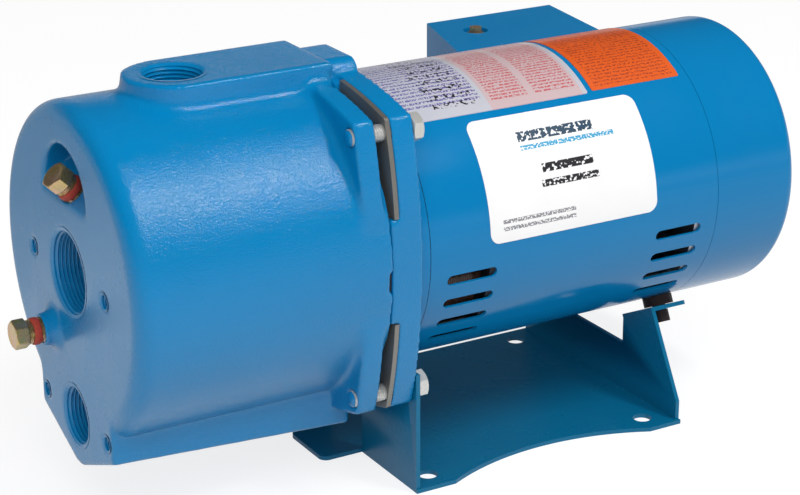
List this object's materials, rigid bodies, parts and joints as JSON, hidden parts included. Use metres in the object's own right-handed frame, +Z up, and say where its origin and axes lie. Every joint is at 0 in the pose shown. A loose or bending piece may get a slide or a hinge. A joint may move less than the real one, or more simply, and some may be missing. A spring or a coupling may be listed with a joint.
{
  "type": "shallow well jet pump",
  "caption": "Shallow well jet pump with painted cast casing, close-coupled electric motor, side terminal box and folded sheet-steel base.",
  "frame": {"origin": "centre of the four base holes, on the underside of the base", "axes": "+X from the pump's front face back along the shaft to the motor's rear, +Z up, -Y the side without the terminal box"},
  "size_m": [0.4545, 0.1865, 0.2385],
  "materials": {
    "casing_paint": "satin",
    "motor_paint": "gloss",
    "base_paint": "satin",
    "bare_steel": "satin",
    "yellow_zinc": "satin",
    "sealant_red": "matte",
    "rubber_black": "matte",
    "bumper_rubber": "matte",
    "composite": "matte",
    "impeller_composite": "matte",
    "brass_part": "satin",
    "ceramic_white": "satin",
    "seal_carbon": "satin",
    "spring_steel": "gloss",
    "die_cast": "satin",
    "core_steel": "satin",
    "copper_winding": "gloss",
    "bearing_steel": "gloss",
    "nylon": "matte",
    "phenolic": "matte",
    "green_screw": "satin",
    "paper_label": "satin",
    "orange_print": "satin",
    "gasket_fibre": "matte"
  },
  "bodies": {
    "frame": {"pump_casing": "casing_paint", "casing_gasket": "gasket_fibre", "seal_plate": "bare_steel", "diffuser": "composite", "diffuser_ring": "rubber_black", "diffuser_screws": "bare_steel", "seal_seat": "ceramic_white", "seal_seat_cup": "rubber_black", "flange_bolts": "yellow_zinc", "motor_front_bell": "casing_paint", "stator_core": "core_steel", "stator_windings": "copper_winding", "motor_shell": "motor_paint", "rear_bell": "die_cast", "rear_cover": "motor_paint", "cover_screws": "bare_steel", "front_bearing_outer": "bearing_steel", "rear_bearing_outer": "bearing_steel", "wave_washer": "spring_steel", "through_bolts": "bare_steel", "switch_plate": "phenolic", "terminal_board": "phenolic", "overload_protector": "composite", "ground_screw": "green_screw", "terminal_box": "motor_paint", "terminal_box_screw": "yellow_zinc", "box_bracket": "bare_steel", "start_capacitor": "composite", "capacitor_clip": "bare_steel", "base_bracket": "base_paint", "rear_bumpers": "bumper_rubber", "name_plate": "paper_label", "rating_label": "paper_label", "orange_label": "orange_print"},
    "rotor": {"shaft": "bare_steel", "rotor_core": "core_steel", "rotor_cage": "die_cast", "cooling_fan": "nylon", "impeller": "impeller_composite", "impeller_insert": "brass_part", "seal_head": "seal_carbon", "seal_spring": "spring_steel", "seal_retainer": "bare_steel", "shaft_slinger": "rubber_black", "snap_ring": "spring_steel", "front_bearing_inner": "bearing_steel", "rear_bearing_inner": "bearing_steel", "governor": "bare_steel"},
    "front_ball_set": {"front_bearing_cage": "brass_part", "front_bearing_balls": "bearing_steel"},
    "rear_ball_set": {"rear_bearing_cage": "brass_part", "rear_bearing_balls": "bearing_steel"},
    "collar": {"governor_collar": "nylon"},
    "arm": {"switch_arm": "phenolic"},
    "drain_carrier": {"drain_plug_sealant": "sealant_red"},
    "drain": {"drain_plug": "yellow_zinc"},
    "priming_carrier": {"priming_plug_sealant": "sealant_red"},
    "priming": {"priming_plug": "yellow_zinc"}
  },
  "joints": [
    {"name": "rotor_spin", "type": "hinge", "parent": "frame", "child": "rotor", "pos_m": [0, 0, 0.137], "axis": [1, 0, 0], "continuous": true},
    {"name": "front_balls_roll", "type": "hinge", "parent": "frame", "child": "front_ball_set", "pos_m": [-0.087, 0, 0.137], "axis": [1, 0, 0], "continuous": true},
    {"name": "rear_balls_roll", "type": "hinge", "parent": "frame", "child": "rear_ball_set", "pos_m": [0.0952, 0, 0.137], "axis": [1, 0, 0], "continuous": true},
    {"name": "governor_slide", "type": "slide", "parent": "rotor", "child": "collar", "axis": [1, 0, 0], "range_m": [0, 0.003], "stiffness_N_per_m": 200, "springref_m": -0.002},
    {"name": "switch_arm_hinge", "type": "hinge", "parent": "frame", "child": "arm", "pos_m": [0.1189, 0, 0.169], "axis": [0, -1, 0], "range_deg": [0, 8.2]},
    {"name": "drain_plug_travel", "type": "slide", "parent": "frame", "child": "drain_carrier", "axis": [-1, 0, 0], "range_m": [0, 0.00915]},
    {"name": "drain_plug_turn", "type": "hinge", "parent": "drain_carrier", "child": "drain", "pos_m": [-0.2649, 0.0244, 0.0976], "axis": [-1, 0, 0], "range_deg": [0, 2340]},
    {"name": "priming_plug_travel", "type": "slide", "parent": "frame", "child": "priming_carrier", "axis": [-0.7071, 0, 0.7071], "range_m": [0, 0.00915]},
    {"name": "priming_plug_turn", "type": "hinge", "parent": "priming_carrier", "child": "priming", "pos_m": [-0.2499, 0, 0.1824], "axis": [-0.7071, 0, 0.7071], "range_deg": [0, 2340]}
  ],
  "couplings": [
    {"joint": "front_balls_roll", "follows": "rotor_spin", "ratio": 0.3825},
    {"joint": "rear_balls_roll", "follows": "rotor_spin", "ratio": 0.3825},
    {"joint": "switch_arm_hinge", "follows": "governor_slide", "rad_per_m": 47},
    {"joint": "drain_plug_turn", "follows": "drain_plug_travel", "rad_per_m": 4463.5},
    {"joint": "priming_plug_turn", "follows": "priming_plug_travel", "rad_per_m": 4463.5}
  ]
}
